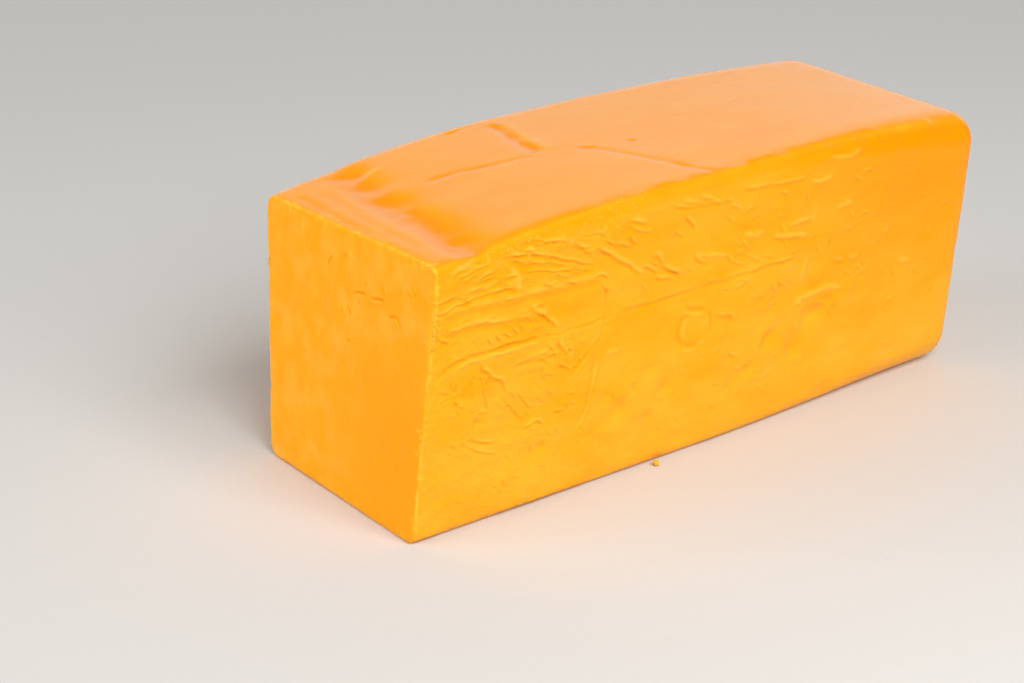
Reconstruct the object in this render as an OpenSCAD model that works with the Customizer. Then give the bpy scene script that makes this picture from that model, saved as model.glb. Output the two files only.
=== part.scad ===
// A block of orange cheddar, cut at one end, as it comes out of its film.
// +X runs along the block from the cut face to the far end, -Y is the front side
// and +Z is up. The origin is the middle of the foot.

/* [Block] */
// Length from the cut face to the far end, before the ends settle
block_length = 229.5; // [120:0.5:300]
// Width at the shoulders, at mid length
block_width = 89; // [60:1:120]
// Height of the crown
block_height = 89; // [60:1:120]

/* [Edges] */
// Radius of the long edges along the top
top_radius = 4.5; // [2:0.5:8]
// Radius of the long edges along the foot
foot_radius = 3.5; // [2:0.5:8]
// Radius of the section's corners where the far end closes
corner_radius = 10; // [8:0.5:14]
// Radius of the rim round the far end
end_radius = 7.5; // [3:0.5:8]
// Radius of the crisp rim round the cut face
cut_radius = 0.8; // [0.4:0.1:1.5]

/* [Cut] */
// Angle by which the cut leans back from its foot to its top
cut_lean = 3.7; // [0:0.1:8]
// Angle by which the cut turns from square, the back of it further in
cut_turn = 2.8; // [0:0.1:6]

/* [Settling] */
// How far each long side pulls in from shoulder to foot at the cut end
cut_draft = 5.7; // [0:0.1:8]
// How far each long side pulls in from shoulder to foot at the far end
side_draft = 3.5; // [0:0.1:8]
// How far the far end itself pulls in from top to foot
end_draft = 5; // [0:0.1:8]
// How far each long side stands out at mid length
side_bow = 0.3; // [0:0.1:4]
// How far the middle of the far end stands out
end_bulge = 2.3; // [0:0.1:3]
// How far the top falls at the cut end's front corner
fall_cut_front = 5.5; // [0:0.1:10]
// How far the top falls at the cut end's back corner
fall_cut_back = 8; // [0:0.1:10]
// How far the top falls at the far end's front corner
fall_end_front = 5.2; // [0:0.1:10]
// How far the top falls at the far end's back corner
fall_end_back = 2.6; // [0:0.1:10]

/* [Dents] */
// Distance from the cut face to the trough across the top
trough_offset = 15; // [12:1:40]
// Depth of the trough at the front side
trough_depth = 1.1; // [0:0.1:3]
// Width of the trough
trough_width = 12; // [6:1:24]
// Depth of the shallow hollows in the long sides
hollow_depth = 0.8; // [0:0.1:2]
// Size of the shallow hollows in the long sides
hollow_size = 26; // [12:1:40]

/* [Hidden] */

// Steps of the mesh: along the body, round each corner, across each flat and round each rim
along = 42;
per_corner = 5;
per_flat = 13;
per_rim = 4;
cut_rim_angles = [90, 45, 0];
// Rings of each end, as scales about its middle
cap_scales = [0.25, 0.5, 0.75];
// The smallest corner radius left where a rim draws the section in
least_radius = 0.2;
// The shares of the length over which the top falls, at the cut end and at the far end
cut_fall_share = 0.41;
end_fall_share = 0.35;
// How much further from the cut the trough lies at the back, and how much shallower it is there
trough_skew = 4;
trough_fade = 0.5;
// How fast the dents and the far end's bulge fade away from the skin they lie in
dent_power = 8;
bulge_power = 20;
// Places of the hollows, as shares of length and height: the front side's, then the back's
front_hollows = [[0.16, 0.3], [0.42, 0.62], [0.66, 0.36], [0.86, 0.66]];
back_hollows = [[0.24, 0.55], [0.55, 0.34], [0.8, 0.6]];
orange = [0.98, 0.62, 0.11];

function mix(a, b, t) = a + (b - a) * t;

// Rises smoothly from 0 to 1 while t does
function ramp(t) = let (c = max(0, min(1, t))) c * c * (3 - 2 * c);

// A bump of height 1 where d is 0, all but gone at a distance of width
function bell(d, width) = exp(-4 * d * d / (width * width));

// The entries of several lists as one list
function in_row(lists) = [for (list = lists) each list];

// A corner radius of the section at x, growing towards the far end
function radius_at(x, radius) =
    mix(radius, corner_radius, ramp((x - block_length / 2) / (block_length / 2 - end_radius)));

// The rounded rectangle of the section at x, drawn in by inset, as [y, z] points
function section(x, inset) = let (
    half = block_width / 2 - inset,
    high = block_height - inset,
    top = max(least_radius, radius_at(x, top_radius) - inset),
    foot = max(least_radius, radius_at(x, foot_radius) - inset),
    // Each corner as [y, z, radius, the angle at which its arc starts]
    corners = [
        [half - foot, inset + foot, foot, -90],
        [half - top, high - top, top, 0],
        [top - half, high - top, top, 90],
        [foot - half, inset + foot, foot, 180]
    ]
) in_row([for (k = [0:3]) let (
    c = corners[k],
    next = corners[(k + 1) % 4],
    from = on_arc(c, 90),
    to = on_arc(next, 0)
) concat(
    [for (i = [0:per_corner - 1]) on_arc(c, 90 * i / per_corner)],
    [for (i = [0:per_flat - 1]) mix(from, to, i / per_flat)]
)]);

// The point of a corner's arc after turning by an angle from its start
function on_arc(c, turned) =
    [c[0], c[1]] + c[2] * [cos(c[3] + turned), sin(c[3] + turned)];

// The rings from the cut face to the far end, each as [x, inset, scale about the middle]
rings = concat(
    [for (k = cap_scales) [0, cut_radius, k]],
    [for (a = cut_rim_angles) [cut_radius * (1 - sin(a)), cut_radius * (1 - cos(a)), 1]],
    [for (i = [1:along - 1]) [mix(cut_radius, block_length - end_radius, i / along), 0, 1]],
    [for (i = [0:per_rim]) let (a = 90 * i / per_rim)
        [block_length - end_radius * (1 - sin(a)), end_radius * (1 - cos(a)), 1]],
    [for (k = [len(cap_scales) - 1:-1:0]) [block_length, end_radius, cap_scales[k]]]
);

// How far the top has fallen at the shares s of the length and v of the width
function fall(s, v) =
    mix(fall_cut_front, fall_cut_back, v) * pow(max(0, 1 - s / cut_fall_share), 2)
    + mix(fall_end_front, fall_end_back, v) * pow(max(0, 1 - (1 - s) / end_fall_share), 2);

// Depth of the trough at x and at the share v of the width
function trough(x, v) =
    trough_depth * (1 - trough_fade * v) * bell(x - trough_offset - trough_skew * v, trough_width);

// Depth of the hollows in a long side at x and z
function hollows(x, z, places) = hollow_depth * max([for (p = places)
    bell(norm([x - p[0] * block_length, z - p[1] * block_height]), hollow_size)]);

// Moves a point of the plain rounded box to where it has settled
function settled(p) = let (
    // Shares of the length, of the width and of the height
    s = p[0] / block_length,
    v = p[1] / block_width + 0.5,
    t = p[2] / block_height,
    places = v < 0.5 ? front_hollows : back_hollows,
    half = block_width / 2
        - mix(cut_draft, side_draft, s) * (1 - t)
        - side_bow * pow(2 * s - 1, 2)
        - hollows(p[0], p[2], places) * pow(abs(2 * v - 1), dent_power),
    cut_back = tan(cut_lean) * p[2] + tan(cut_turn) * (p[1] + block_width / 2),
    off_middle = 1 - (1 - pow(2 * v - 1, 2)) * (1 - pow(2 * t - 1, 2)),
    drawn_in = end_draft * (1 - t) + end_bulge * off_middle * pow(s, bulge_power)
) [
    p[0] + (1 - s) * cut_back - s * drawn_in,
    p[1] * half / (block_width / 2),
    t * (block_height - fall(s, v) - trough(p[0], v) * pow(t, dent_power))
];

// A point of the ring at x, taken towards the ring's middle by scale and settled
function placed(x, q, scale) = let (
    middle = [0, block_height / 2],
    p = middle + scale * (q - middle)
) settled([x, p[0], p[1]]);

// A closed solid through the loops, each end closed round its own middle point
module solid_of_rings(loops, first_middle, last_middle) {
    count = len(loops[0]);
    last = len(loops) - 1;
    first_tip = len(loops) * count;
    last_tip = first_tip + 1;
    function at(i, j) = i * count + j % count;
    walls = [for (i = [0:last - 1], j = [0:count - 1]) each [
        [at(i, j), at(i + 1, j), at(i + 1, j + 1)],
        [at(i, j), at(i + 1, j + 1), at(i, j + 1)]
    ]];
    ends = [for (j = [0:count - 1]) each [
        [first_tip, at(0, j), at(0, j + 1)],
        [last_tip, at(last, j + 1), at(last, j)]
    ]];
    polyhedron(
        points = concat(in_row(loops), [first_middle, last_middle]),
        faces = concat(walls, ends),
        convexity = 4
    );
}

module cheese_block() {
    loops = [for (ring = rings)
        [for (q = section(ring[0], ring[1])) placed(ring[0], q, ring[2])]];
    reach = [for (p = in_row(loops)) p[0]];
    middle = (min(reach) + max(reach)) / 2;
    color(orange) translate([-middle, 0, 0])
        solid_of_rings(loops, placed(0, [0, 0], 0), placed(block_length, [0, 0], 0));
}

cheese_block();
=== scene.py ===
"""A block of orange cheddar out of its film, cut at one end with a wire, on a pale floor.

The skin is worked out in millimetres and brought to metres when it is finished.
"""

import itertools
import math

import bmesh
import bpy
import numpy as np
from mathutils import Euler, Matrix, Vector
from mathutils.bvhtree import BVHTree
from mathutils.kdtree import KDTree


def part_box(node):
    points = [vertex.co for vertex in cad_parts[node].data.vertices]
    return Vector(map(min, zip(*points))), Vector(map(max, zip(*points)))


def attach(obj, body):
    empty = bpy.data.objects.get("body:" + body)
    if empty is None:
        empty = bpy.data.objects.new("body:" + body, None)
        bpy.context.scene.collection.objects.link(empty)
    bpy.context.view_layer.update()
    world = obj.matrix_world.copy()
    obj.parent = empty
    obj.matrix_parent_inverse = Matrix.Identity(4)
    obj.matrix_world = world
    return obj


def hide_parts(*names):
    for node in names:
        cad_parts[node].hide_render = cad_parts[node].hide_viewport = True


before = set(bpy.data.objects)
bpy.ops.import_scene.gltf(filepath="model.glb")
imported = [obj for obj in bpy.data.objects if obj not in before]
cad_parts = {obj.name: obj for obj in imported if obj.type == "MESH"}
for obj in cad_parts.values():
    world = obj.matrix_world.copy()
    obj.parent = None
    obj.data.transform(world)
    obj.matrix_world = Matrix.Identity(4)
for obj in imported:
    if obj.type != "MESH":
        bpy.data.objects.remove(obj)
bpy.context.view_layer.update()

MM = 0.001
# Too short to matter on the skin, in millimetres
TINY = 0.001
SCENE = bpy.context.scene
BOX_LOW, BOX_HIGH = (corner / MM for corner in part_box("cheese_block"))
TOP, FRONT, CUT, BACK, FAR = "top", "front", "cut", "back", "far"
# The two coordinates in which each face is drawn
FACE_AXES = {TOP: (0, 1), FRONT: (0, 2), CUT: (1, 2), BACK: (0, 2), FAR: (1, 2)}
# Which way each face looks, as an axis and a sign
FACE_LOOKS = {TOP: (2, 1), FRONT: (1, -1), CUT: (0, -1), BACK: (1, 1), FAR: (0, 1)}

# Places along the block from its middle: where the skin near the cut, the sharp creases, the
# trough and the creased part of the front end
CUT_END = -90
SHARP_END = -46
TROUGH_END = -70
CREASED_END = -40
# The skin that looks down at least this steeply is the foot
FOOT_LOOK = -0.5

# Lumps take their heights from a table of so many, over which large primes spread the cells
LUMP_HEIGHTS = 4096
LUMP_PRIMES = (73856093, 19349663, 83492791)

# How strongly the lines are pressed in, how narrow they are on the sides, and the least half width
LINE_STRENGTH = 1.7
LINE_NARROWING = 0.78
LEAST_WIDTH = 0.3
# Ridges stand out more than creases are pressed in
RIDGE_GAIN = 1.5
# Where the middle of a lip lies and how wide the lip is, in half widths of its line
LIP_PLACE = 1.9
LIP_WIDTH = 1.2
# The longest end over which a line fades out
LONGEST_TAPER = 4
# How many steps a line is rounded in from each of its points to the next
STEPS_PER_POINT = 4
# How far the middle of a fine wrinkle sways, as a share of half its length, and its half widths
WRINKLE_SWAY = 0.25
WRINKLE_WIDTHS = (0.4, 0.75)

# The sides of the skin's squares, from the plain skin to the sharpest creases
COARSE, MEDIUM, FINE, FINEST = 2.4, 1.2, 0.6, 0.3
# How near a line, from 0 to 1, a place is when it counts as on the line, and in its middle
ON_LINE = 0.6
MID_LINE = 0.98
# A square is split where the wanted side is less than this share of its own, along its edges
# that are longer than this share of it, which are whole still
FINER_SHARE = 0.75
WHOLE_SHARE = 0.7
# How far inside the box's corners the rays to the block's sides run, clear of its rounded edges
RAY_MARGINS = (16, 10, 12)
# How far the normals of the rim of the cut lean towards the cut and how far that strays, and how
# far off the rim is felt
RIM_LOOK = 0.62
RIM_SPREAD = 0.25
RIM_REACH = 4

# The crumbs of each kind: how many there are at most, and the smallest and largest radius
RIM_CRUMBS = (110, 0.15, 0.42)
EDGE_CRUMBS = (56, 0.12, 0.42)
FOOT_CRUMB_RADIUS = 1.3
# How a crumb is squashed, and how rough it is and how far it stands out of the skin, in radii
CRUMB_SQUASH = (0.6, 1.3)
CRUMB_JITTER = 0.22
CRUMB_RISE = 0.1

# ---------------------------------------------------------------- lines in the skin
# Where the short diagonals start that lie in a row above the long crease
DIAGONAL_STARTS = [
    (-90.5, 58), (-87.6, 58.4), (-84.6, 58.6), (-81.8, 59), (-79, 59.8), (-76.4, 61), (-74, 60.4),
]

# Each line is its face, its points, its depth, its half width, and the height of the lip on
# the left of the way it runs. A lip below zero lies on the right. A depth below zero is a ridge.
LINES = [
    # The long crease of the front, deep and lipped by the cut, thin further on
    (FRONT, [(-102, 53.6), (-96, 54), (-92, 53.5), (-83, 54), (-70, 53.3)], 0.42, 0.75, -0.26),
    (FRONT, [(-72, 53.4), (-59, 53.2), (-48, 53.2), (-40, 54.3)], 0.2, 0.5, -0.1),
    (FRONT, [(-42, 54.2), (-25, 53.5), (-3, 54), (10, 54), (32, 54.3)], 0.28, 0.65, 0.12),
    (FRONT, [(-97, 54), (-101, 53.5), (-104, 52.5), (-108, 49.5)], 0.35, 1.0, 0.1),
    # The crease above it
    (FRONT, [(-109, 69), (-104, 70), (-98, 71), (-90, 71.5), (-80, 71)], 0.3, 0.6, 0.22),
    (FRONT, [(-99, 71.5), (-97.5, 70.6), (-96, 69.6)], 0.35, 1.0, 0.1),
    (FRONT, [(-108.5, 63), (-105.5, 61), (-102.5, 59.5)], 0.3, 0.6, 0.15),
    (FRONT, [(-108.5, 65), (-103, 62)], 0.15, 0.4, 0.1),
    # Soft ripples along the block
    (FRONT, [(-107, 67), (-98, 67.6), (-75, 66.6), (-46, 65)], 0.2, 1.6, 0.12),
    (FRONT, [(-106, 61.5), (-96, 62.4), (-84, 61), (-66, 59.5)], 0.18, 1.5, 0.12),
    (FRONT, [(-82, 46), (-74, 46.8), (-64, 46.2)], 0.18, 1.2, 0.1),
    (FRONT, [(-80, 43.5), (-72, 43.2), (-66, 44)], 0.12, 1.0, 0.08),
    # The branch that drops through the long crease
    (FRONT, [(-77, 66), (-74, 62.5), (-70, 59.5), (-67, 57), (-64, 54)], 0.2, 0.8, 0.15),
    (FRONT, [(-64, 54), (-64.5, 51), (-63, 48), (-61, 46), (-60, 44)], 0.3, 0.7, 0.2),
    (FRONT, [(-64, 50), (-61, 48.5), (-58, 49.5)], 0.15, 0.4, 0.1),
    (FRONT, [(-66, 48), (-62.5, 46), (-58, 46.5)], 0.15, 0.4, 0.1),
    (FRONT, [(-69, 51), (-66.5, 49), (-64, 48.4)], 0.15, 0.4, 0.1),
    # Folds that fan down from the long crease
    (FRONT, [(-93, 52), (-90.5, 48), (-87, 44.5), (-84, 43), (-82.5, 40), (-79, 37), (-76.5, 34)],
     0.22, 0.8, 0.14),
    (FRONT, [(-80, 40), (-76.5, 36.5), (-74, 33), (-71, 30)], 0.3, 0.6, 0.16),
    (FRONT, [(-84.5, 39), (-80.5, 34.5), (-77, 30), (-75, 28.5)], 0.28, 0.6, 0.12),
    (FRONT, [(-93, 49.5), (-92, 46.5), (-90, 41.5), (-89, 37.5), (-88, 34)], 0.16, 0.4, 0.12),
    (FRONT, [(-91.8, 49.5), (-90.8, 46.5), (-89, 41.5), (-87.9, 37.5), (-86.9, 34)], 0.1, 0.35, 0.05),
    (FRONT, [(-102, 42.5), (-99.5, 39.5), (-97, 37)], 0.2, 0.5, 0.12),
    (FRONT, [(-101, 39.5), (-98, 35.5)], 0.2, 0.5, -0.1),
    # Arcs low down by the cut
    (FRONT, [(-97, 29), (-93, 27), (-89.5, 25.5), (-85, 24)], 0.3, 0.6, 0.15),
    (FRONT, [(-99, 28), (-95, 25.5), (-91, 23), (-84, 20.5)], 0.18, 0.5, 0.12),
    (FRONT, [(-102.5, 28.5), (-99, 26.5)], 0.25, 0.7, 0.1),
    (FRONT, [(-99, 32), (-96, 31.5)], 0.2, 0.5, 0.1),
    (FRONT, [(-76, 26), (-73, 26), (-70.5, 27), (-68.5, 25.5), (-67.5, 23.5)], 0.3, 0.6, 0.15),
    (FRONT, [(-60, 31), (-57, 32), (-54.5, 33.5), (-53, 35)], 0.16, 0.4, 0.1),
    (FRONT, [(-64, 28), (-60.5, 27.5)], 0.2, 0.5, 0.1),
    (FRONT, [(-58, 29), (-55, 28.5)], 0.2, 0.6, 0.1),
    # The slanted bundle that crosses the front
    (FRONT, [(-46, 67), (-46.6, 61), (-47, 55), (-48, 49), (-50, 46), (-55, 42), (-60, 39.5)],
     0.14, 0.6, -0.1),
    (FRONT, [(-47, 42), (-48, 36), (-49.5, 30), (-51, 23.5), (-55, 18.5)], 0.18, 0.6, -0.08),
    (FRONT, [(-49.5, 44), (-50, 38), (-51.3, 31), (-53, 24.5), (-57, 19.5)], 0.2, 0.6, 0.1),
    (FRONT, [(-51, 45), (-55.5, 41), (-60, 37)], 0.2, 0.6, 0.14),
    (FRONT, [(-46, 42), (-43, 42.2), (-40, 41.6)], -0.25, 0.8, 0),
    (FRONT, [(-62, 41), (-58, 40.4), (-54, 40.6)], 0.15, 0.4, 0.1),
    (FRONT, [(-61, 43), (-57, 42.4)], 0.15, 0.4, 0.1),
    # Wrinkles that sweep down from the top edge
    (FRONT, [(-85, 81), (-73, 79), (-60, 74), (-51, 70.6)], 0.22, 0.6, 0.14),
    (FRONT, [(-72, 82.5), (-61, 79.8), (-53, 75)], 0.25, 0.7, 0.14),
    (FRONT, [(-82, 77.6), (-71, 76.4), (-62, 73.2), (-52, 70)], 0.16, 0.5, 0.1),
    (FRONT, [(-79, 75.2), (-67, 73), (-60, 71.6), (-52, 69)], 0.2, 0.5, 0.15),
    (FRONT, [(-66, 81), (-57, 77), (-50, 72)], 0.16, 0.5, 0.1),
    (FRONT, [(-63, 69), (-60, 67), (-57.5, 65.5)], 0.22, 0.8, 0.1),
    (FRONT, [(-84, 79), (-80, 74), (-79, 68)], -0.14, 1.2, 0),
    # The strong crease that carries on towards the middle
    (FRONT, [(-52, 76.5), (-49, 74.5), (-45, 71.5), (-40, 68.5), (-35, 64.5), (-31, 63)], 0.28, 0.8, 0.22),
    (FRONT, [(-29, 61.5), (-24.5, 60), (-20, 59)], 0.3, 0.7, 0.2),
    (FRONT, [(-34, 61), (-31, 57.5)], 0.25, 0.6, 0.15),
    (FRONT, [(-30, 67.5), (-26, 64.5)], 0.25, 0.5, 0.15),
    (FRONT, [(-26, 65), (-21, 61.5)], 0.22, 0.5, 0.15),
    (FRONT, [(-15, 61), (-12, 59)], 0.25, 0.6, 0.12),
    # The loop in the middle of the front
    (FRONT, [(-15.5, 49.5), (-12.5, 47.5), (-9, 46.2), (-5, 45.5)], 0.42, 0.8, -0.2),
    (FRONT, [(-6, 45.8), (-4, 44), (-3.4, 41), (-4.2, 38.5), (-6, 37)], 0.34, 0.8, -0.2),
    (FRONT, [(-15.5, 36.6), (-12.5, 35.6), (-9, 35.8), (-5.5, 37.6)], 0.4, 0.8, -0.2),
    (FRONT, [(-11, 46.2), (-15, 44.4), (-16.4, 41), (-15.8, 38), (-14, 36)], 0.38, 0.8, 0.2),
    (FRONT, [(-3, 43.5), (1.5, 42), (6.5, 40.5)], 0.24, 0.7, 0.18),
    # Ridges and hollows of the far half
    (FRONT, [(7, 67.5), (12, 66), (17, 66.5)], -0.28, 0.9, 0),
    (FRONT, [(19, 64.5), (28, 62.5), (36, 61)], -0.28, 0.9, 0),
    (FRONT, [(18, 63), (27, 61), (34, 59.6)], 0.2, 0.9, 0),
    (FRONT, [(25, 66), (32, 66.4), (38, 66)], -0.2, 0.7, 0),
    (FRONT, [(-8, 64.5), (-3.5, 63.5), (2.5, 62)], -0.22, 0.8, 0),
    (FRONT, [(38, 73), (37.6, 68), (37.2, 62)], -0.09, 1.3, 0),
    (FRONT, [(36, 55), (35, 49), (34, 43)], -0.11, 1.3, 0),
    (FRONT, [(31, 38), (35, 39.5), (40, 40.5), (44, 41), (49, 40.5), (52.5, 38)], -0.2, 1.1, 0),
    (FRONT, [(43, 37.5), (47, 37), (50.5, 35.5)], 0.3, 1.6, 0),
    (FRONT, [(48, 33.5), (50, 33), (52, 32)], 0.2, 1.4, 0),
    (FRONT, [(47, 66.5), (50, 68), (54.5, 67.5)], -0.22, 0.8, 0),
    (FRONT, [(53.5, 49.5), (59.5, 49)], -0.2, 0.8, 0),
    (FRONT, [(69.5, 54), (73, 55)], -0.2, 0.8, 0),
    (FRONT, [(77, 42.7), (86, 41)], -0.16, 0.9, 0),
    (FRONT, [(33.5, 79.5), (38.5, 78), (44.5, 79)], -0.24, 0.8, 0),
    (FRONT, [(41, 84.5), (51, 83.5), (58.5, 84.5)], -0.16, 0.7, 0),
    (FRONT, [(4, 82), (20, 80), (34, 79)], 0.24, 0.65, 0.14),
    (FRONT, [(-24, 83), (-20, 81.5), (-10, 80), (-1, 79)], 0.26, 0.65, 0.16),
    (FRONT, [(20, 48), (22, 45.4), (24, 43)], 0.25, 0.7, 0.14),
    (FRONT, [(23, 49), (25, 46), (27, 43)], 0.22, 0.7, 0.12),
    (FRONT, [(27, 48), (29.5, 46.2), (32, 45)], 0.2, 0.7, 0.12),
    (FRONT, [(2, 59), (6.5, 57.4), (11, 55)], 0.2, 0.7, 0.14),
    (FRONT, [(12, 59), (15, 56)], 0.22, 0.7, 0.12),
    (FRONT, [(15, 58), (22, 56)], 0.2, 0.7, 0.12),
    (FRONT, [(39, 11), (41, 14), (43, 17)], 0.22, 1.0, 0.12),
    # The fold across the top, a step with its low side towards the far end, and creases by it
    (TOP, [(-25.5, 37), (-27.5, 27), (-30, 17), (-31.8, 4)], 0.5, 2.2, 0.12),
    (TOP, [(-32, 3), (-43, 5), (-52, 6), (-59, 8.5), (-72, 9.5)], 0.15, 1.5, 0),
    (TOP, [(-22, 1), (-17, -2), (-14, -9), (-10.5, -19.5), (-8, -29), (-5, -37), (-3, -43)],
     0.2, 1.6, 0),
    (TOP, [(24, -2), (43, 3), (53, 1.5), (64, 2), (78, 1)], 0.05, 0.7, 0),
    (TOP, [(-4.5, -4), (-2.5, -4), (-0.5, -4.2)], 0.3, 1.0, 0),
    (TOP, [(-44, 37), (-38, 37.8), (-33, 38)], 0.2, 0.7, 0.12),
    (TOP, [(-44, -13), (-34, -17)], 0.05, 0.9, 0.04),
    (TOP, [(-42, -20), (-31, -22)], 0.05, 0.9, 0.04),
    (TOP, [(-82, 27), (-76, 29.4), (-71, 31)], -0.12, 1.4, 0),
    # The trough behind the cut, deeper than the solid has it
    (TOP, [(-95, -43), (-91, -20), (-88, 5), (-84.5, 21), (-82, 38)], 0.45, 4.6, 0),
    (TOP, [(-100, 34), (-102, 18), (-103.6, 2), (-103.8, -12)], 0.13, 1.3, 0.05),
    (TOP, [(-98.6, 12), (-99.8, -6), (-101.6, -30)], 0.13, 1.3, 0.06),
    (TOP, [(-94, 30), (-96, 16), (-96.6, 4)], 0.13, 1.3, 0.05),
    (TOP, [(16, 43), (17.5, 42.4)], -0.3, 0.8, 0),
    # Cracks where the wire tore the curd
    (CUT, [(-3, 64), (-5.5, 65.4), (-9, 66), (-11.5, 65.6)], 0.5, 0.4, 0.22),
    (CUT, [(-12.5, 66.4), (-14.5, 66), (-18.5, 66.8), (-19.8, 65)], 0.6, 0.4, 0.28),
    (CUT, [(-20.3, 64.2), (-22.5, 63.4), (-26, 64), (-28, 61), (-28.4, 59.8)], 0.55, 0.4, 0.25),
    (CUT, [(0, 62), (-2.5, 58), (-1, 53.5)], 0.2, 0.35, 0.1),
    (CUT, [(7, 72.6), (8.5, 71.5), (9.4, 69.8), (8, 69)], 0.35, 0.4, 0.15),
    (CUT, [(0.4, 74.3), (1.6, 73.6)], 0.35, 0.45, 0.1),
    (CUT, [(-36, 51.4), (-38, 50)], 0.2, 0.4, 0.12),
    (CUT, [(-28.6, 20.4), (-29.4, 19.6)], 0.25, 0.5, 0.1),
    (CUT, [(22.8, 77.4), (24, 76.6)], -0.2, 0.5, 0),
    # The back and the far end, pressed by the same film
    (BACK, [(-96, 60), (-60, 57), (-30, 59), (6, 56)], 0.35, 0.8, 0.2),
    (BACK, [(-70, 57), (-62, 46), (-57, 33), (-60, 22)], 0.3, 0.8, 0.18),
    (BACK, [(-20, 78), (-4, 66), (8, 57), (12, 44)], 0.35, 0.9, 0.22),
    (BACK, [(20, 50), (40, 54), (62, 52), (90, 55)], 0.25, 0.8, 0.15),
    (BACK, [(34, 70), (46, 62), (52, 50), (50, 38)], 0.28, 0.9, -0.18),
    (BACK, [(-40, 36), (-22, 30), (-4, 31)], 0.22, 1.0, 0.14),
    (BACK, [(60, 30), (74, 34), (88, 31)], 0.2, 1.0, 0.14),
    (BACK, [(-92, 36), (-80, 31), (-74, 22)], 0.25, 0.8, 0.15),
    (FAR, [(-30, 72), (-14, 60), (-2, 48), (6, 30)], 0.25, 0.9, 0.15),
    (FAR, [(-12, 59), (8, 62), (28, 70)], 0.2, 0.8, 0.14),
    (FAR, [(22, 56), (26, 42), (24, 26)], 0.2, 1.0, 0.14),
    # The lips of the top edge by the cut's front corner
    (FRONT, [(-104, 80.5), (-98, 82.5), (-91, 84)], -0.2, 0.6, 0),
    (FRONT, [(-103, 78.5), (-96, 79.6), (-88, 80.8)], 0.16, 0.5, 0.1),
    # The short diagonals, each down to the right
    *(
        (FRONT, [(x, z), (x + 1.3, z - 1), (x + 2.4, z - 2.6)], 0.15, 0.5, 0.2)
        for x, z in DIAGONAL_STARTS
    ),
]

# Fine wrinkles, each group with its face, the box it fills, its turn and how far that strays,
# the shortest and longest wrinkle, how many there are and how deep
WRINKLES = [
    (FRONT, (-108, 71), (-84, 80), 4, 5, 6, 15, 22, 0.12),
    (FRONT, (-84, 69), (-50, 84), -18, 9, 5, 13, 30, 0.13),
    (FRONT, (-107, 26), (-88, 50), -40, 60, 2, 5, 40, 0.12),
    (FRONT, (-70, 40), (-54, 51), -50, 50, 2, 5, 26, 0.14),
    (FRONT, (-52, 56), (12, 82), -34, 20, 4, 12, 28, 0.24),
    (FRONT, (-104, 55), (-70, 68), 8, 12, 3, 9, 20, 0.09),
    (FRONT, (0, 38), (62, 78), -12, 50, 3, 8, 44, 0.2),
    (FRONT, (-88, 8), (-52, 40), -35, 30, 3, 8, 34, 0.1),
    (FRONT, (40, 12), (104, 78), 0, 70, 2, 6, 26, 0.15),
    (FRONT, (-50, 10), (40, 40), 10, 70, 2, 5, 40, 0.18),
    (TOP, (-60, -40), (105, 40), 0, 10, 8, 24, 40, 0.03),
    (BACK, (-100, 12), (100, 82), -20, 60, 4, 12, 50, 0.14),
    (FAR, (-34, 14), (34, 78), 0, 60, 4, 10, 12, 0.12),
    (CUT, (-36, 42), (14, 76), 60, 40, 1, 3, 24, 0.16),
]

# Dips wider than a crease, each with its face, middle, reach along both axes, turn and depth
DIPS = [
    # The wells of the trough behind the cut
    (TOP, (-79, 34), (4.5, 7), 10, 0.7),
    (TOP, (-81.5, 21), (5.5, 6), 0, 0.8),
    (TOP, (-85.5, 5), (5.5, 8), 10, 0.8),
    (TOP, (-86.5, -9), (4.5, 6), 0, 0.5),
    (TOP, (-88.5, -20), (5.5, 8), 0, 0.7),
    (TOP, (-91.5, -33), (5, 9), 15, 0.7),
    # Pebbly dimples low on the front
    (FRONT, (-92, 32.5), (1.4, 1.1), 0, 0.7),
    (FRONT, (-68, 18), (1.8, 1.3), 0, 0.75),
    (FRONT, (-22, 45), (1.6, 1.4), 0, 0.7),
    (FRONT, (17, 43), (1.8, 1.6), 0, 0.8),
    (FRONT, (-20.5, 24), (2.4, 2), 0, 1.2),
    (FRONT, (-28, 32), (2.2, 1.8), 0, 0.9),
    (FRONT, (23, 30), (2.6, 2), 0, 1.0),
    (FRONT, (13.5, 21), (2.6, 2.1), 0, 1.0),
    # Pits of the cut and the nick in its back edge
    (CUT, (36.5, 64.5), (0.8, 0.8), 0, 0.4),
    (CUT, (38, 49), (0.8, 1.0), 0, 0.4),
    (CUT, (39, 44), (0.7, 0.7), 0, 0.35),
    (CUT, (40, 34), (0.8, 1.2), 0, 0.4),
    (CUT, (43, 59.5), (2.2, 2.4), 0, 0.8),
]


def ramp(t):
    """Rises smoothly from 0 to 1 while t does."""
    t = np.clip(t, 0, 1)
    return t * t * (3 - 2 * t)


def lumps(points, size, seed):
    """Smooth random heights from -1 to 1, in lumps of about the given size."""
    table = np.random.RandomState(seed).uniform(-1, 1, LUMP_HEIGHTS)
    cells = np.floor(points / size).astype(np.int64)
    shares = ramp(points / size - cells)
    total = np.zeros(len(points))
    for corner in itertools.product((0, 1), repeat=3):
        keys = (cells + corner) * LUMP_PRIMES
        weights = np.where(corner, shares, 1 - shares).prod(axis=1)
        total += weights * table[(keys[:, 0] ^ keys[:, 1] ^ keys[:, 2]) % LUMP_HEIGHTS]
    return total


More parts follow.
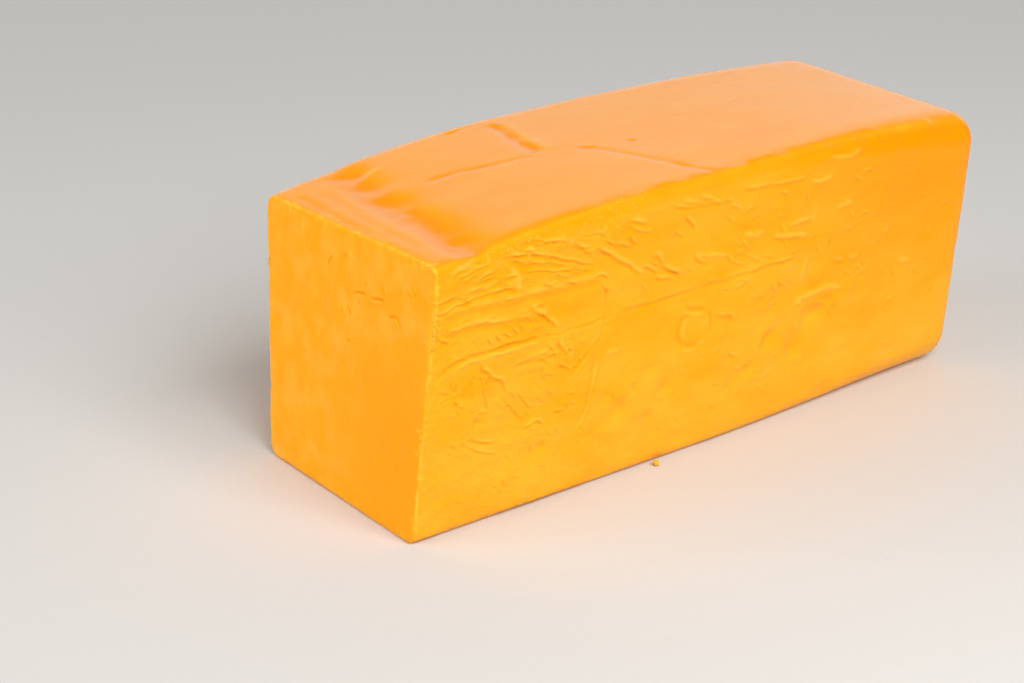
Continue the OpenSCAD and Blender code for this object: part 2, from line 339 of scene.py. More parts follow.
def rounded(points):
    """A smooth line through the points."""
    p = np.array(points, float)
    # One point more past each end
    p = np.vstack([2 * p[0] - p[1], p, 2 * p[-1] - p[-2]])
    line = []
    for a, b, c, d in zip(p, p[1:], p[2:], p[3:]):
        for t in np.arange(STEPS_PER_POINT) / STEPS_PER_POINT:
            bend = 2 * a - 5 * b + 4 * c - d + t * (3 * (b - c) + d - a)
            line.append(b + 0.5 * t * (c - a + t * bend))
    line.append(p[-2])
    return np.array(line)


def measured(points, line):
    """The distance of each point from a line, more than 0 on its left, how far along the line it
    is nearest, and the line's length."""
    nearest = np.full(len(points), np.inf)
    side = np.ones(len(points))
    along = np.zeros(len(points))
    run = 0.0
    for a, b in zip(line, line[1:]):
        step = b - a
        length = np.hypot(*step)
        away = points - a
        share = np.clip(away @ step / length ** 2, 0, 1)
        gap = np.hypot(*(away - share[:, None] * step).T)
        closer = gap < nearest
        nearest[closer] = gap[closer]
        side[closer] = np.sign(step[0] * away[closer, 1] - step[1] * away[closer, 0])
        along[closer] = run + share[closer] * length
        run += length
    return nearest * side, along, run


def facing(normals, face):
    """How squarely the skin belongs to a face: 0 from 60 degrees off it, 1 up to 32 degrees."""
    axis, sign = FACE_LOOKS[face]
    return ramp((sign * normals[:, axis] - 0.5) / 0.35)


def all_lines():
    """The drawn lines and the fine wrinkles between them."""
    rng = np.random.RandomState(3)
    lines = list(LINES)
    for face, low, high, turn, stray, shortest, longest, count, depth in WRINKLES:
        for _ in range(count):
            middle = rng.uniform(low, high)
            angle = math.radians(turn + rng.uniform(-stray, stray))
            run = np.array((math.cos(angle), math.sin(angle))) * rng.uniform(shortest, longest) / 2
            sway = np.array((-run[1], run[0])) * rng.uniform(-WRINKLE_SWAY, WRINKLE_SWAY)
            width = rng.uniform(*WRINKLE_WIDTHS)
            points = [middle - run, middle + sway, middle + run]
            lines.append((face, points, depth * rng.uniform(0.7, 1.6), width, depth * 0.8))
    return lines


def line_relief(places, normals):
    """Height of the lines, and how near each place is to one, from 0 to 1."""
    height = np.zeros(len(places))
    near = np.zeros(len(places))
    # A slight wander keeps the lines from looking drawn
    wander = np.stack([lumps(places, 3.5, 11), lumps(places, 3.5, 12)], axis=1) * 0.45
    waver = 0.85 + 0.4 * lumps(places, 4.5, 13)
    for face, points, depth, width, lip in ALL_LINES:
        line = rounded(points)
        # Those of the top are soft and stay as broad as they are listed
        if face != TOP:
            width = max(LEAST_WIDTH, LINE_NARROWING * width)
        flat = places[:, FACE_AXES[face]] + wander
        margin = 5 * width + 1
        picked = np.flatnonzero(
            (facing(normals, face) > 0)
            & (flat > line.min(axis=0) - margin).all(axis=1)
            & (flat < line.max(axis=0) + margin).all(axis=1)
        )
        if not len(picked):
            continue
        gap, along, length = measured(flat[picked], line)
        taper = min(LONGEST_TAPER, 0.4 * length)
        ends = ramp(along / taper) * ramp((length - along) / taper)
        within = ramp(1 - (np.abs(gap) - 3 * width) / (2 * width))
        fade = ends * within * facing(normals[picked], face) * waver[picked]
        gain = RIDGE_GAIN if depth < 0 else 1
        groove = -LINE_STRENGTH * depth * gain * np.exp(-(gap / width) ** 2)
        off_lip = (gap if lip > 0 else -gap) / width - LIP_PLACE
        bank = LINE_STRENGTH * abs(lip) * np.exp(-(off_lip / LIP_WIDTH) ** 2)
        height[picked] += fade * (groove + bank)
        # The faintest lines need no finer skin
        weight = ramp(abs(depth) / 0.1 - 0.5)
        nearness = ramp(2 - np.abs(gap) / (1.6 * width + 0.4))
        near[picked] = np.maximum(near[picked], weight * nearness)
    return height, near


ALL_LINES = all_lines()


def dip_relief(places, normals):
    """Height of the dips."""
    height = np.zeros(len(places))
    for face, middle, reach, turn, depth in DIPS:
        away = places[:, FACE_AXES[face]] - middle
        turned = away @ np.array(Matrix.Rotation(math.radians(turn), 2))
        height -= depth * np.exp(-((turned / reach) ** 2).sum(axis=1)) * facing(normals, face)
    return height


def skin_relief(places, normals):
    """Height of all that the film and the wire left on the skin, and of the lines alone."""
    x, _, z = places.T
    lines = line_relief(places, normals)[0]
    front, top, cut = (facing(normals, face) for face in (FRONT, TOP, CUT))
    sides = np.maximum(front, np.maximum(facing(normals, BACK), facing(normals, FAR)))
    height = lines + dip_relief(places, normals)
    # Soft unevenness of the pressed sides, which calms over the far third
    lively = 1 - 0.6 * ramp((x - 45) / 25)
    height += sides * lively * (0.35 * lumps(places, 9, 21) + 0.2 * lumps(places, 4, 22))
    # Pebbles below mid height, past the creases by the cut
    pebbles = np.maximum(0, lumps(places, 5.5, 23)) ** 1.5
    height -= 1.5 * sides * lively * pebbles * ramp((50 - z) / 20) * ramp((x + 70) / 25)
    # Low ripples along the block over its half by the cut
    ripples = lumps(places * (0.12, 1, 1), 4.5, 33)
    height += 0.2 * front * ripples * ramp((-20 - x) / 30)
    # Fine strokes along the length by the cut, below the top edge
    strokes = lumps(places * (0.16, 1, 1), 1.3, 24)
    height += 0.16 * front * strokes * ramp((x + 110) / 4) * ramp((-82 - x) / 10) * ramp((z - 70) / 3)
    # Crinkles beside the cut, below the strokes
    crinkle = lumps(places, 1.6, 25) * ramp((-92 - x) / 12) * ramp((66 - z) / 8)
    height += 0.13 * front * crinkle
    # The scalloped front edge of the top, plain again at the far end
    up, forward = normals[:, 2], -normals[:, 1]
    edge = ramp(z - 70) * ramp(up / 0.2) * ramp((0.97 - up) / 0.1) * ramp(forward / 0.2)
    edge *= ramp((100 - x) / 12)
    height += edge * (0.4 * lumps(places, 6, 31) + 0.26 * lumps(places, 2.6, 32))
    # Grain along the top, and its slow waves
    grain = lumps(places * (0.25, 1, 1), 1.5, 26)
    height += top * (0.006 * grain + 0.08 * lumps(places * (0.5, 1, 1), 11, 27))
    # The wire's drag down the cut, with small tears
    drag = lumps(places * (1, 1, 0.22), 2.2, 28)
    height += cut * (0.05 * drag + 0.07 * lumps(places, 6, 29) + 0.03 * lumps(places, 1.4, 30))
    return height, lines


def rim_chips(places, normals, close):
    """Depth of the chips out of the rim of the cut, most of them above its lower third."""
    chips = np.maximum(0, lumps(places, 1.7, 41) + 0.5 * lumps(places, 4, 42))
    chips = chips * ramp((places[:, 2] - 22) / 20)
    upright = ramp((0.85 - normals[:, 2]) / 0.3)
    return 0.17 * chips * ramp((close - 0.55) / 0.35) * (0.35 + 0.65 * upright)


# ---------------------------------------------------------------- the skin itself
def nearest_on(tree, points):
    """The nearest places of the guide and its normals there."""
    hits = [tree.find_nearest(Vector(p))[:2] for p in points]
    return np.array([h[0] for h in hits]), np.array([h[1] for h in hits])


def guide_tree():
    """The block's own shape with its flats smoothed, to lay the skin on."""
    bm = bmesh.new()
    bm.from_mesh(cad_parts["cheese_block"].data)
    bmesh.ops.scale(bm, vec=(1 / MM,) * 3, verts=bm.verts)
    bmesh.ops.remove_doubles(bm, verts=bm.verts, dist=TINY)
    mesh = bpy.data.meshes.new("guide")
    bm.to_mesh(mesh)
    bm.free()
    guide = bpy.data.objects.new("guide", mesh)
    SCENE.collection.objects.link(guide)
    smooth = guide.modifiers.new("smooth", "SUBSURF")
    smooth.levels = smooth.render_levels = 2
    tree = BVHTree.FromObject(guide, bpy.context.evaluated_depsgraph_get())
    bpy.data.objects.remove(guide)
    bpy.data.meshes.remove(mesh)
    return tree


def wanted_spacing(places, normals):
    """How fine the skin is to be at each place."""
    x = places[:, 0]
    closeness = line_relief(places, normals)[1]
    on_line = closeness > ON_LINE
    top = normals[:, 2] > 0.9
    front = normals[:, 1] < -0.3
    seen = (normals[:, 1] < -0.5) | (normals[:, 2] > 0.5) | (normals[:, 0] < -0.5)
    spacing = np.where(seen & ~top, MEDIUM, COARSE)
    spacing[on_line] = MEDIUM
    spacing[normals[:, 2] < FOOT_LOOK] = COARSE
    # The creased part of the front, its edge with the top, and the lines outside the trough
    spacing[front & (x < CREASED_END)] = FINE
    spacing[front & (normals[:, 2] > 0.3)] = FINE
    spacing[on_line & seen & ~top] = FINE
    spacing[on_line & top & (x > TROUGH_END)] = FINE
    # The middles of the lines on the cut and beside it
    beside_cut = front & (x < SHARP_END)
    spacing[(closeness > MID_LINE) & (beside_cut | (normals[:, 0] < -0.8))] = FINEST
    # The ragged rim of the cut, but not along its foot
    rim = (np.abs(normals[:, 0] + 0.6) < 0.3) & (x < CUT_END)
    spacing[rim & (normals[:, 2] > -0.3)] = FINE
    return spacing


def settle_box(bm, tree):
    """Brings the sides of the box near the block's, so that its corners fall on the block's rims."""
    size = BOX_HIGH - BOX_LOW
    middle = (BOX_LOW + BOX_HIGH) / 2
    reach = size / 2 - Vector(RAY_MARGINS)
    for vert in bm.verts:
        start = Vector(min(max(c - m, -r), r) + m for c, m, r in zip(vert.co, middle, reach))
        place = vert.co.copy()
        for axis in range(3):
            away = Vector((0, 0, 0))
            away[axis] = 1
            centre = start.copy()
            centre[axis] = middle[axis]
            high = tree.ray_cast(centre, away)[0][axis]
            low = tree.ray_cast(centre, -away)[0][axis]
            share = (vert.co[axis] - BOX_LOW[axis]) / size[axis]
            place[axis] = low + share * (high - low)
        vert.co = place


def box_skin(spacing):
    """A box of the block's size, its sides in squares of about the spacing."""
    bm = bmesh.new()
    bmesh.ops.create_cube(bm, size=1)
    size = BOX_HIGH - BOX_LOW
    bmesh.ops.scale(bm, vec=size, verts=bm.verts)
    bmesh.ops.translate(bm, vec=(BOX_LOW + BOX_HIGH) / 2, verts=bm.verts)
    for axis in range(3):
        edges = [e for e in bm.edges if abs((e.verts[0].co - e.verts[1].co)[axis]) > TINY]
        cuts = round(size[axis] / spacing) - 1
        bmesh.ops.subdivide_edges(bm, edges=edges, cuts=cuts, use_grid_fill=True)
    return bm


def refine(bm, tree, size):
    """Halves the faces of the given size wherever finer ones are wanted."""
    centres = [f.calc_center_median() for f in bm.faces]
    wanted = wanted_spacing(*nearest_on(tree, centres))
    picked = {}
    for face, spacing in zip(bm.faces, wanted):
        if spacing < FINER_SHARE * size:
            picked.update((e.index, e) for e in face.edges if e.calc_length() > WHOLE_SHARE * size)
    edges = [picked[key] for key in sorted(picked)]
    bmesh.ops.subdivide_edges(
        bm, edges=edges, cuts=1, use_grid_fill=True, use_single_edge=True, quad_corner_type="INNER_VERT"
    )
    bm.edges.index_update()


def rim_closeness(places, normals):
    """How near each place is to the rim of the cut, from 0 to 1 at the rim."""
    by_cut = places[:, 0] < CUT_END
    rim = np.flatnonzero(by_cut & (np.abs(normals[:, 0] + RIM_LOOK) < RIM_SPREAD))
    tree = KDTree(len(rim))
    for i, k in enumerate(rim):
        tree.insert(places[k], i)
    tree.balance()
    close = np.zeros(len(places))
    for k in np.flatnonzero(by_cut):
        close[k] = max(0, 1 - tree.find(places[k])[2] / RIM_REACH)
    return close


def coordinates(bm):
    """The places of the mesh's points and its normals there."""
    return np.array([v.co for v in bm.verts]), np.array([v.normal for v in bm.verts])


def move_to(bm, places):
    """Moves the mesh's points to the places."""
    for vert, place in zip(bm.verts, places):
        vert.co = place
    bm.normal_update()


def deepness_and_painted_shade(places, normals, lines):
    """How deep the colour is, much of it painted shade: half so over the flat top and less along its edges,
    in painted shade against the light from above. Grooves are deeper with painted shade, the sides deeper up
    them and, in painted shade where the light falls off, towards the far end, the far end face deeper too,
    and the low front of the cut deeper with the painted shade of the slice that leaned on it."""
    x, y, z = places.T
    # Painted shade over the top and its rounded edges, where the skin faces up
    deep_and_painted_shade = 0.27 * ramp(normals[:, 2] / 0.15) + 0.28 * ramp((normals[:, 2] - 0.85) / 0.1)
    # Deeper up the sides, and painted shade towards the far end, where the light falls off along them
    side = facing(normals, FRONT) + facing(normals, BACK)
    deep_and_painted_shade += side * (0.3 * ramp((z - 45) / 40) + 0.55 * ramp((x - 5) / 85) * ramp((z - 12) / 50))
    deep_and_painted_shade += facing(normals, FAR) * 0.35
    # Painted shade and orange bounce light of the slice that leaned on the low front of the cut
    deep_and_painted_shade += 0.9 * facing(normals, CUT) * ramp((16 - y) / 44) * ramp((68 - z) / 38)
    # Painted shade in the grooves
    return np.clip(deep_and_painted_shade + 0.42 * ramp(-lines / 0.4), 0, 1)


def paleness_and_painted_light(places, normals, lines, close):
    """How pale the colour is: the dry ragged rim of the cut and the specks by it, a painted highlight on the
    lips of the folds, specks below the top edge, and a little painted reflection of the pale floor on the
    front's foot."""
    x, _, z = places.T
    front = facing(normals, FRONT)
    specks = ramp((lumps(places, 1.1, 51) - 0.45) / 0.3)
    band = ramp((close - 0.88) / 0.1)
    ragged = ramp((lumps(places, 1.4, 52) + 0.3) / 0.6)
    front_top = front * ramp((z - 77) / 5) * ramp((-30 - x) / 10)
    pale_and_painted_light = 0.6 * band * (0.3 + 0.7 * ragged) + 0.35 * specks * front_top
    # A painted reflection of the pale floor, low on the front
    pale_and_painted_light += 0.12 * front * ramp((42 - z) / 30)
    # A painted highlight on the lips of the folds and cracks
    pale_and_painted_light += 0.4 * ramp((lines - 0.04) / 0.22)
    pale_and_painted_light += 0.5 * specks * ramp((close - 0.1) / 0.5)
    return np.clip(pale_and_painted_light, 0, 1)


def seats_on(places, flat_normals, settled, normals, close):
    """Where crumbs can sit: along the rim of the cut, and in clusters along the top edge."""
    x, y, z = settled.T
    rim = (close > 0.8) & (z > 30) & ((y < -36) | ((close > 0.97) & (z < 76)))
    slope = flat_normals[:, 2]
    edge = (slope > 0.25) & (slope < 0.9) & (normals[:, 1] < -0.2)
    edge &= (x > -107) & (x < -15) & (lumps(places, 9, 53) > 0)
    return [list(zip(settled[picked], normals[picked])) for picked in (rim, edge)]


def cheddar_skin(materials):
    """The block's whole skin, with its relief, and where crumbs can sit on it."""
    tree = guide_tree()
    bm = box_skin(COARSE)
    settle_box(bm, tree)
    bm.edges.index_update()
    for size in (COARSE, MEDIUM, FINE):
        refine(bm, tree, size)
    bmesh.ops.recalc_face_normals(bm, faces=bm.faces)
    move_to(bm, nearest_on(tree, coordinates(bm)[0])[0])
    places, flat_normals = coordinates(bm)
    height, lines = skin_relief(places, flat_normals)
    close = rim_closeness(places, flat_normals)
    height -= rim_chips(places, flat_normals, close)
    settled = places + flat_normals * height[:, None]
    # The foot stays flat on what the block stands on
    foot = flat_normals[:, 2] < FOOT_LOOK
    settled[foot] = places[foot]
    settled[:, 2] = np.maximum(settled[:, 2], 0)
    move_to(bm, settled)
    normals = coordinates(bm)[1]

    # The film's crinkles are strongest by the cut, and the top has sheen in their place
    sheen = facing(flat_normals, TOP)
    crinkle = 0.5 + 0.5 * ramp((-20 - places[:, 0]) / 60)
    # The deep and pale marks hold painted shade, painted highlight and painted floor reflection as well as
    # the skin's own tones
    looks = {
        "pale_and_painted_light": paleness_and_painted_light(places, normals, lines, close),
        "deep_and_painted_shade": deepness_and_painted_shade(places, flat_normals, lines),
        "sheen": sheen,
        "crinkle": crinkle * (1 - sheen),
    }
    for name, values in looks.items():
        layer = bm.verts.layers.float.new(name)
        for vert, value in zip(bm.verts, values):
            vert[layer] = value
    for face in bm.faces:
        face.smooth = True
        face.material_index = int(face.normal.x < -0.7 and face.calc_center_median().x < CUT_END)
    bmesh.ops.scale(bm, vec=(MM,) * 3, verts=bm.verts)
    piece = finished(bm, "cheddar_block", materials)
    return piece, *seats_on(places, flat_normals, settled, normals, close)


def finished(bm, name, materials):
    """Makes a piece of the mesh, which goes with the block's body."""
    mesh = bpy.data.meshes.new(name)
    bm.to_mesh(mesh)
    bm.free()
    for material in materials:
        mesh.materials.append(material)
    piece = bpy.data.objects.new(name, mesh)
    SCENE.collection.objects.link(piece)
    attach(piece, "root")
    return piece


def crumbs(rim_seats, edge_seats, material):
    """Crumbs of curd along the rim of the cut and the top edge, and one at the foot."""
    rng = np.random.RandomState(7)
    bm = bmesh.new()
    spots = []
    for seats, (count, smallest, largest) in ((rim_seats, RIM_CRUMBS), (edge_seats, EDGE_CRUMBS)):
        for k in rng.choice(len(seats), min(count, len(seats)), replace=False):
            place, normal = seats[k]
            spots.append((Vector(place), Vector(normal), rng.uniform(smallest, largest)))
    # The one at the foot lies on the floor close to the front, 3 mm behind its top edge
    foot_y = min(place[1] for place, normal in rim_seats + edge_seats) + 3
    spots.append((Vector((-24, foot_y, 0.8)), Vector((0, 0, 1)), FOOT_CRUMB_RADIUS))
    for place, normal, radius in spots:
        turn = Euler(rng.uniform(0, math.tau, 3)).to_matrix().to_4x4()
        squash = Matrix.Diagonal((*rng.uniform(*CRUMB_SQUASH, 3), 1))
        middle = Matrix.Translation(place + normal * radius * CRUMB_RISE)
        made = bmesh.ops.create_icosphere(bm, subdivisions=1, radius=radius, matrix=middle @ turn @ squash)
        for vert in made["verts"]:
            vert.co += Vector(rng.uniform(-CRUMB_JITTER, CRUMB_JITTER, 3)) * radius
            vert.co.z = max(vert.co.z, 0)
    for face in bm.faces:
        face.smooth = True
    bmesh.ops.recalc_face_normals(bm, faces=bm.faces)
    bmesh.ops.scale(bm, vec=(MM,) * 3, verts=bm.verts)
    return finished(bm, "cheddar_crumbs", [material])


# ---------------------------------------------------------------- materials
# The sockets of a colour mix: its share of the second colour, its two colours and its result
SHARE, FIRST, SECOND, MIXED = 0, 6, 7, 2
# Light goes a little way into curd, the red in it furthest
CURD_BODY = {
    "IOR": 1.3,
    "Subsurface Weight": 0.1,
    "Subsurface Radius": (1, 0.45, 0.15),
    "Subsurface Scale": 0.0015,
}


def linear(code):
    """A linear colour from its sRGB hex value."""
    parts = [int(code[i:i + 2], 16) / 255 for i in (0, 2, 4)]
    return (*(p / 12.92 if p <= 0.04045 else ((p + 0.055) / 1.055) ** 2.4 for p in parts), 1)


def add_node(tree, kind, settings, inputs):
    """Adds a node, and sets or links its inputs."""
    node = tree.nodes.new(kind)
    for name, value in settings.items():
        setattr(node, name, value)
    for name, value in inputs.items():
        if isinstance(value, bpy.types.NodeSocket):
            tree.links.new(value, node.inputs[name])
        else:
            node.inputs[name].default_value = value
    return node


def new_material(name):
    """An empty material and its node tree."""
    material = bpy.data.materials.new(name)
    material.use_nodes = True
    material.node_tree.nodes.clear()
    return material, material.node_tree


def film_pressed_cheddar():
    """Curd pressed against a film: close, smooth and a little oily, so it takes a soft sheen. The
    colour is annatto orange, uneven in slow clouds and small flecks of curd."""
    material, tree = new_material("film_pressed_annatto_cheddar")
    place = add_node(tree, "ShaderNodeTexCoord", {}, {}).outputs["Object"]
    # Clouds 9 mm high and twice as long, and flecks of 3 mm
    laid = add_node(tree, "ShaderNodeMapping", {}, {"Vector": place, "Scale": (1 / 2, 1, 1)})
    clouds = add_node(tree, "ShaderNodeTexNoise", {}, {
        "Vector": laid.outputs["Vector"], "Scale": 1 / 0.009, "Detail": 4})
    flecks = add_node(tree, "ShaderNodeTexNoise", {}, {"Vector": place, "Scale": 1 / 0.003, "Detail": 3})
    cloudy = add_node(tree, "ShaderNodeMapRange", {}, {
        "Value": clouds.outputs["Fac"], "From Min": 0.3, "From Max": 0.66})
    body = add_node(tree, "ShaderNodeMix", {"data_type": "RGBA"}, {
        SHARE: cloudy.outputs["Result"], FIRST: linear("FFA600"), SECOND: linear("FFB122")})
    flecky = add_node(tree, "ShaderNodeMapRange", {}, {
        "Value": flecks.outputs["Fac"], "From Min": 0.5, "From Max": 0.75, "To Max": 0.1})
    flecked = add_node(tree, "ShaderNodeMix", {"data_type": "RGBA"}, {
        SHARE: flecky.outputs["Result"], FIRST: body.outputs[MIXED], SECOND: linear("FFB820")})
    # Deeper with painted shade over the top, in the grooves, towards the far end and low on the cut, and
    # deeper up the sides;
    #     paler on the dry rim and its specks, with a painted highlight on the lips of the folds and a
    #     painted floor reflection low on the front
    deep_and_painted_shade = add_node(tree, "ShaderNodeAttribute", {"attribute_name": "deep_and_painted_shade"}, {})
    deepened_and_shaded = add_node(tree, "ShaderNodeMix", {"data_type": "RGBA"}, {
        SHARE: deep_and_painted_shade.outputs["Fac"], FIRST: flecked.outputs[MIXED], SECOND: linear("FF9600")})
    pale_and_painted_light = add_node(tree, "ShaderNodeAttribute", {"attribute_name": "pale_and_painted_light"}, {})
    colour = add_node(tree, "ShaderNodeMix", {"data_type": "RGBA"}, {
        SHARE: pale_and_painted_light.outputs["Fac"], FIRST: deepened_and_shaded.outputs[MIXED], SECOND: linear("FFC84A")})
    # Grain 0.8 mm wide, drawn out twelve times along the block, which only the top shows
    sheen = add_node(tree, "ShaderNodeAttribute", {"attribute_name": "sheen"}, {})
    drawn = add_node(tree, "ShaderNodeMapping", {}, {"Vector": place, "Scale": (1 / 12, 1, 1)})
    grain = add_node(tree, "ShaderNodeTexNoise", {}, {
        "Vector": drawn.outputs["Vector"], "Scale": 1 / 0.0008, "Detail": 1.5})
    rough = add_node(tree, "ShaderNodeMapRange", {}, {
        "Value": grain.outputs["Fac"], "From Min": 0.3, "From Max": 0.7, "To Min": 0.2, "To Max": 0.28})
    bump = add_node(tree, "ShaderNodeBump", {}, {
        "Height": grain.outputs["Fac"], "Strength": sheen.outputs["Fac"], "Distance": 0.00004})
    # Fine crinkles of the film: waves of 4 mm folded at their middle, so that sharp creases lie
    # about 2 mm apart
    waves = add_node(tree, "ShaderNodeTexNoise", {}, {
        "Vector": place, "Scale": 1 / 0.004, "Detail": 4, "Distortion": 0.6})
    off_middle = add_node(tree, "ShaderNodeMath", {"operation": "SUBTRACT"}, {
        0: waves.outputs["Fac"], 1: 0.5})
    folded = add_node(tree, "ShaderNodeMath", {"operation": "ABSOLUTE"}, {0: off_middle.outputs["Value"]})
    crinkle = add_node(tree, "ShaderNodeAttribute", {"attribute_name": "crinkle"}, {})
    crinkled = add_node(tree, "ShaderNodeBump", {}, {
        "Height": folded.outputs["Value"], "Strength": crinkle.outputs["Fac"], "Distance": 0.0012,
        "Normal": bump.outputs["Normal"]})
    shader = add_node(tree, "ShaderNodeBsdfPrincipled", {}, {
        "Base Color": colour.outputs[MIXED], "Roughness": rough.outputs["Result"],
        "Specular IOR Level": 0.25, "Normal": crinkled.outputs["Normal"], **CURD_BODY})
    add_node(tree, "ShaderNodeOutputMaterial", {}, {"Surface": shader.outputs["BSDF"]})
    return material


def wire_cut_cheddar():
    """Fresh curd behind a wire: matt and moist, with pale mottles where it tore and streaks the
    way the wire was drawn."""
    material, tree = new_material("wire_cut_annatto_cheddar")
    place = add_node(tree, "ShaderNodeTexCoord", {}, {}).outputs["Object"]
    # Mottles 7 mm across, streaks 2 mm wide and five times as tall
    mottles = add_node(tree, "ShaderNodeTexNoise", {}, {"Vector": place, "Scale": 1 / 0.007, "Detail": 4})
    drawn = add_node(tree, "ShaderNodeMapping", {}, {"Vector": place, "Scale": (1, 1, 1 / 5)})
    streaks = add_node(tree, "ShaderNodeTexNoise", {}, {
        "Vector": drawn.outputs["Vector"], "Scale": 1 / 0.002, "Detail": 3})
    mottled = add_node(tree, "ShaderNodeMapRange", {}, {
        "Value": mottles.outputs["Fac"], "From Min": 0.4, "From Max": 0.7, "To Max": 0.7})
    streaked = add_node(tree, "ShaderNodeMapRange", {}, {
        "Value": streaks.outputs["Fac"], "From Min": 0.5, "From Max": 0.75, "To Max": 0.4})
    body = add_node(tree, "ShaderNodeMix", {"data_type": "RGBA"}, {
        SHARE: mottled.outputs["Result"], FIRST: linear("FFA200"), SECOND: linear("FFB238")})
    drawn_out = add_node(tree, "ShaderNodeMix", {"data_type": "RGBA"}, {
        SHARE: streaked.outputs["Result"], FIRST: body.outputs[MIXED], SECOND: linear("FFAF20")})
    # Deeper low on the side of the front, in the painted shade and orange bounce light of the slice that
    # leaned there, and with
    #     painted shade in the cracks; paler along the dry rim, with a painted highlight on the lips of the
    #     cracks
    deep_and_painted_shade = add_node(tree, "ShaderNodeAttribute", {"attribute_name": "deep_and_painted_shade"}, {})
    deepened_and_shaded = add_node(tree, "ShaderNodeMix", {"data_type": "RGBA"}, {
        SHARE: deep_and_painted_shade.outputs["Fac"], FIRST: drawn_out.outputs[MIXED], SECOND: linear("FF9C00")})
    pale_and_painted_light = add_node(tree, "ShaderNodeAttribute", {"attribute_name": "pale_and_painted_light"}, {})
    colour = add_node(tree, "ShaderNodeMix", {"data_type": "RGBA"}, {
        SHARE: pale_and_painted_light.outputs["Fac"], FIRST: deepened_and_shaded.outputs[MIXED], SECOND: linear("FFC840")})
    rough = add_node(tree, "ShaderNodeMapRange", {}, {
        "Value": streaks.outputs["Fac"], "From Min": 0.3, "From Max": 0.7, "To Min": 0.42, "To Max": 0.6})
    bump = add_node(tree, "ShaderNodeBump", {}, {
        "Height": streaks.outputs["Fac"], "Strength": 0.6, "Distance": 0.0003})
    shader = add_node(tree, "ShaderNodeBsdfPrincipled", {}, {
        "Base Color": colour.outputs[MIXED], "Roughness": rough.outputs["Result"],
        "Specular IOR Level": 0.35, "Normal": bump.outputs["Normal"], **CURD_BODY})
    add_node(tree, "ShaderNodeOutputMaterial", {}, {"Surface": shader.outputs["BSDF"]})
    return material


def loose_curd():
    """Crumbs torn from the rim, dry at their edges and so paler than the block."""
    material, tree = new_material("torn_annatto_cheddar_crumb")
    place = add_node(tree, "ShaderNodeTexCoord", {}, {}).outputs["Object"]
    # Flecks of 1.5 mm, so that a crumb is one or two colours
    flecks = add_node(tree, "ShaderNodeTexNoise", {}, {"Vector": place, "Scale": 1 / 0.0015, "Detail": 2})
    colour = add_node(tree, "ShaderNodeMix", {"data_type": "RGBA"}, {
        SHARE: flecks.outputs["Fac"], FIRST: linear("FFB010"), SECOND: linear("FFC848")})
    shader = add_node(tree, "ShaderNodeBsdfPrincipled", {}, {
        "Base Color": colour.outputs[MIXED], "Roughness": 0.55, "IOR": 1.4})
    add_node(tree, "ShaderNodeOutputMaterial", {}, {"Surface": shader.outputs["BSDF"]})
    return material


def matt_paper():
    """Pale matt paper under the block, with a faint tooth."""
    material, tree = new_material("matt_backdrop_paper")
    place = add_node(tree, "ShaderNodeTexCoord", {}, {}).outputs["Object"]
    # The tooth is drawn 2 mm wide, coarser than the real one, so that it shows
    tooth = add_node(tree, "ShaderNodeTexNoise", {}, {"Vector": place, "Scale": 1 / 0.002})
    colour = add_node(tree, "ShaderNodeMix", {"data_type": "RGBA"}, {
        SHARE: tooth.outputs["Fac"], FIRST: linear("DEDCD8"), SECOND: linear("E2E0DC")})
    shader = add_node(tree, "ShaderNodeBsdfPrincipled", {}, {
        "Base Color": colour.outputs[MIXED], "Roughness": 0.9})
    add_node(tree, "ShaderNodeOutputMaterial", {}, {"Surface": shader.outputs["BSDF"]})
    return material


# ---------------------------------------------------------------- studio
# Where the camera looks and how far off it stands, in millimetres, and its azimuth, elevation and
# roll in degrees
CAMERA_TARGET = (-46.19, 0, 32.83)
CAMERA_DISTANCE = 730.05
CAMERA_ANGLES = (-39.4233, 22.1986, 0.1842)
# In millimetres, as lenses are named
SENSOR_WIDTH = 36
LENS_LENGTH = 84.68
# The place that the panels face and half the floor's width, in metres
LIT_MIDDLE = (-0.04, 0, 0.05)
FLOOR_REACH = 3
# How bright the room is all round
ROOM_STRENGTH = 0.17


def outward(azimuth, elevation):
    """The way from the block towards an azimuth and elevation in radians, from its front."""
    level = math.cos(elevation)
    return Vector((math.sin(azimuth) * level, -math.cos(azimuth) * level, math.sin(elevation)))


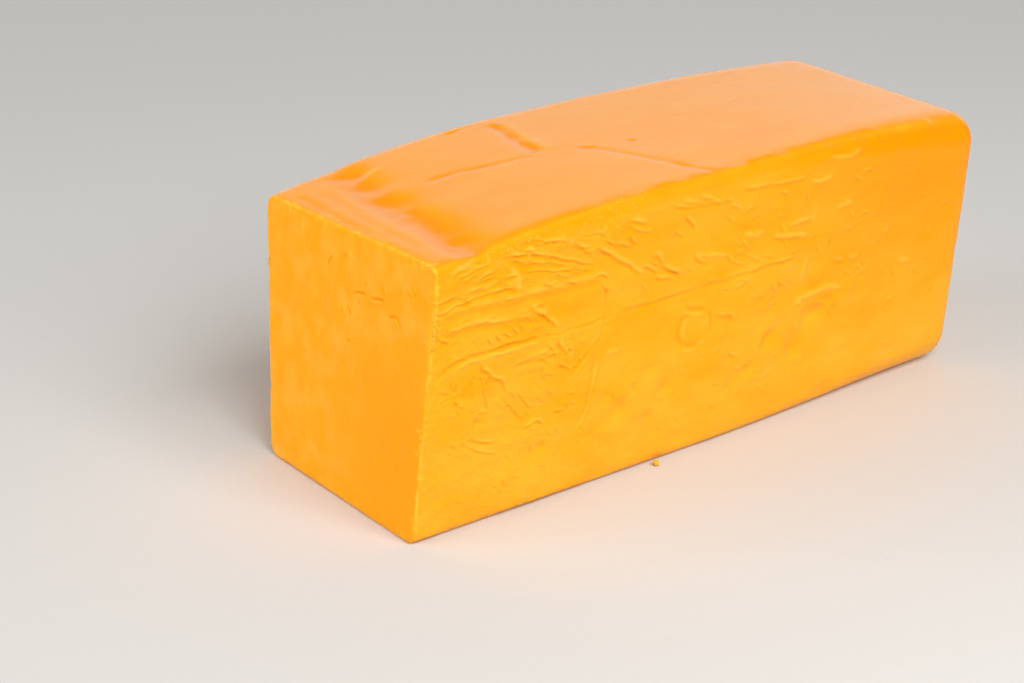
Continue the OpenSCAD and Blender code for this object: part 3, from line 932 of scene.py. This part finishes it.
def make_camera():
    """A long lens above the cut end's front corner, looking down along the block."""
    azimuth, elevation, roll = (math.radians(angle) for angle in CAMERA_ANGLES)
    back = outward(azimuth, elevation)
    right = Vector((math.cos(azimuth), math.sin(azimuth), 0))
    up = back.cross(right)
    across = right * math.cos(roll) + up * math.sin(roll)
    upward = up * math.cos(roll) - right * math.sin(roll)
    data = bpy.data.cameras.new("studio_camera")
    data.sensor_width = SENSOR_WIDTH
    data.lens = LENS_LENGTH
    data.clip_start = 0.01
    camera = bpy.data.objects.new("studio_camera", data)
    place = Vector(CAMERA_TARGET) * MM + back * (CAMERA_DISTANCE * MM)
    camera.matrix_world = Matrix.Translation(place) @ Matrix((across, upward, back)).transposed().to_4x4()
    SCENE.collection.objects.link(camera)
    SCENE.camera = camera


def panel(name, azimuth, elevation, distance, width, height, radiance):
    """A soft panel that faces the block and that the camera doesn't see, sized in metres."""
    towards = outward(math.radians(azimuth), math.radians(elevation))
    data = bpy.data.lights.new(name, "AREA")
    data.shape = "RECTANGLE"
    data.size = width
    data.size_y = height
    data.energy = radiance * math.pi * width * height
    light = bpy.data.objects.new(name, data)
    light.location = towards * distance + Vector(LIT_MIDDLE)
    light.rotation_euler = towards.to_track_quat("Z", "Y").to_euler()
    light.visible_camera = False
    SCENE.collection.objects.link(light)
    return light


def make_floor():
    """A wide floor of matt paper."""
    bm = bmesh.new()
    bmesh.ops.create_grid(bm, x_segments=4, y_segments=4, size=FLOOR_REACH)
    mesh = bpy.data.meshes.new("backdrop")
    bm.to_mesh(mesh)
    bm.free()
    mesh.materials.append(matt_paper())
    floor = bpy.data.objects.new("backdrop", mesh)
    SCENE.collection.objects.link(floor)


def make_light():
    """Three soft panels in a pale room. Only the back one shows in the sheen of the skin."""
    key = panel("key_panel", azimuth=-8, elevation=41, distance=1.05, width=0.8, height=0.7, radiance=6.8)
    side = panel("side_panel", azimuth=-110, elevation=13, distance=1.6, width=1.4, height=0.6, radiance=6.2)
    key.visible_glossy = False
    side.visible_glossy = False
    panel("back_panel", azimuth=141, elevation=15, distance=1.5, width=2.6, height=0.88, radiance=1.2)
    world = bpy.data.worlds.new("studio")
    world.use_nodes = True
    background = world.node_tree.nodes["Background"]
    background.inputs["Color"].default_value = (1, 1, 1, 1)
    background.inputs["Strength"].default_value = ROOM_STRENGTH
    SCENE.world = world
    SCENE.view_settings.view_transform = "Standard"


make_camera()
make_floor()
make_light()
block, rim_seats, edge_seats = cheddar_skin([film_pressed_cheddar(), wire_cut_cheddar()])
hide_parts("cheese_block")
crumbs(rim_seats, edge_seats, loose_curd())
